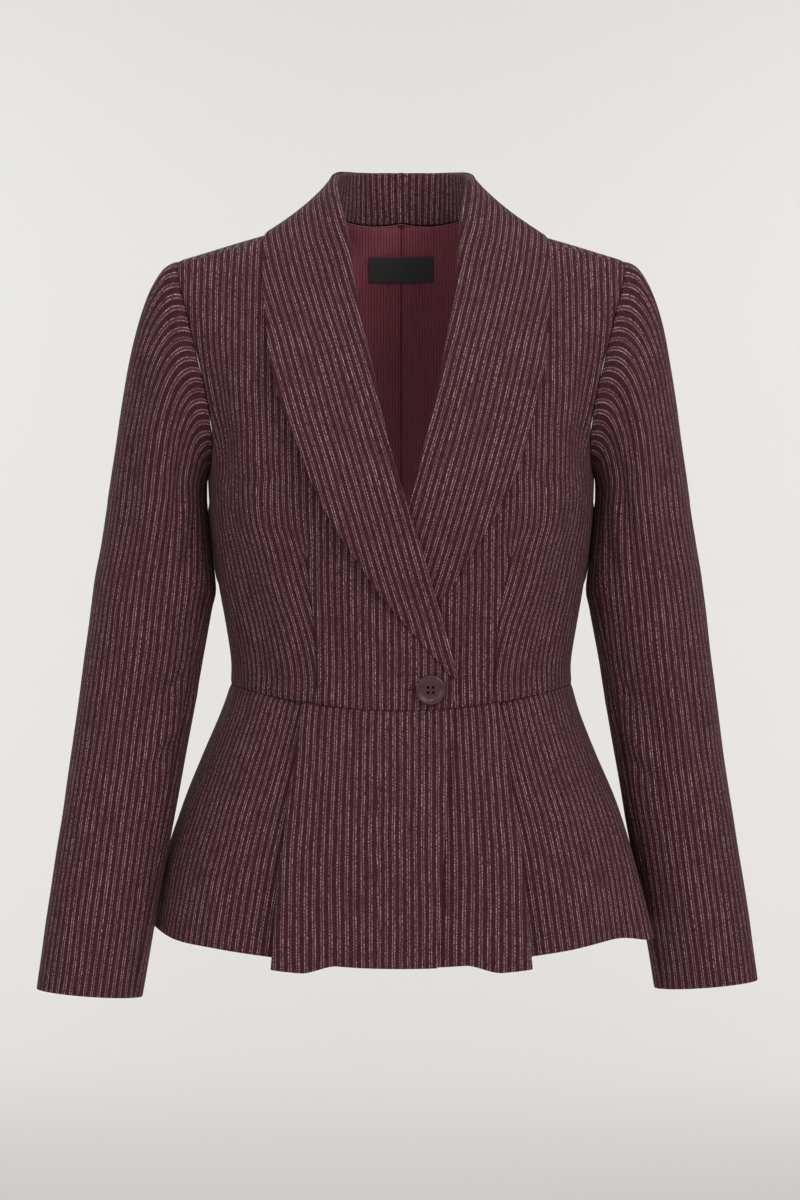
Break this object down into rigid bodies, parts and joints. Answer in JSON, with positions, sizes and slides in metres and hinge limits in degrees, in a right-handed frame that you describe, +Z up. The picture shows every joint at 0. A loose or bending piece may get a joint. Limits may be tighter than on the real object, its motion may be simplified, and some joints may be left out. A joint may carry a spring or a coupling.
{
  "type": "peplum jacket",
  "caption": "Fitted single-breasted jacket with a shawl collar, long sleeves and a short pleated peplum, hollow as when worn.",
  "frame": {"origin": "on the centre plane, level with the middle of the shoulder seams' slope, where the wearer's shoulders hold the jacket", "axes": "+Z up, the front faces -Y, the wearer's right is -X"},
  "size_m": [0.6, 0.2849, 0.6933],
  "materials": {
    "suiting": "plum worsted wool with a fine paired pinstripe, dry and matt",
    "satin_lining": "wine satin lining with a fine tonal stripe, soft sheen",
    "label_ribbon": "black woven ribbon, bare",
    "button_resin": "polished plum-brown resin"
  },
  "bodies": {
    "root": {"front_right": "suiting", "front_left": "suiting", "back_right": "suiting", "back_left": "suiting", "collar_lapel_right": "suiting", "collar_lapel_left": "suiting", "upper_sleeve_right": "suiting", "upper_sleeve_left": "suiting", "under_sleeve_right": "suiting", "under_sleeve_left": "suiting", "peplum_front_right": "suiting", "peplum_front_left": "suiting", "peplum_back_right": "suiting", "peplum_back_left": "suiting", "collar_stand": "suiting", "lining_back_right": "satin_lining", "lining_back_left": "satin_lining", "label": "label_ribbon", "button": "button_resin"}
  },
  "joints": []
}
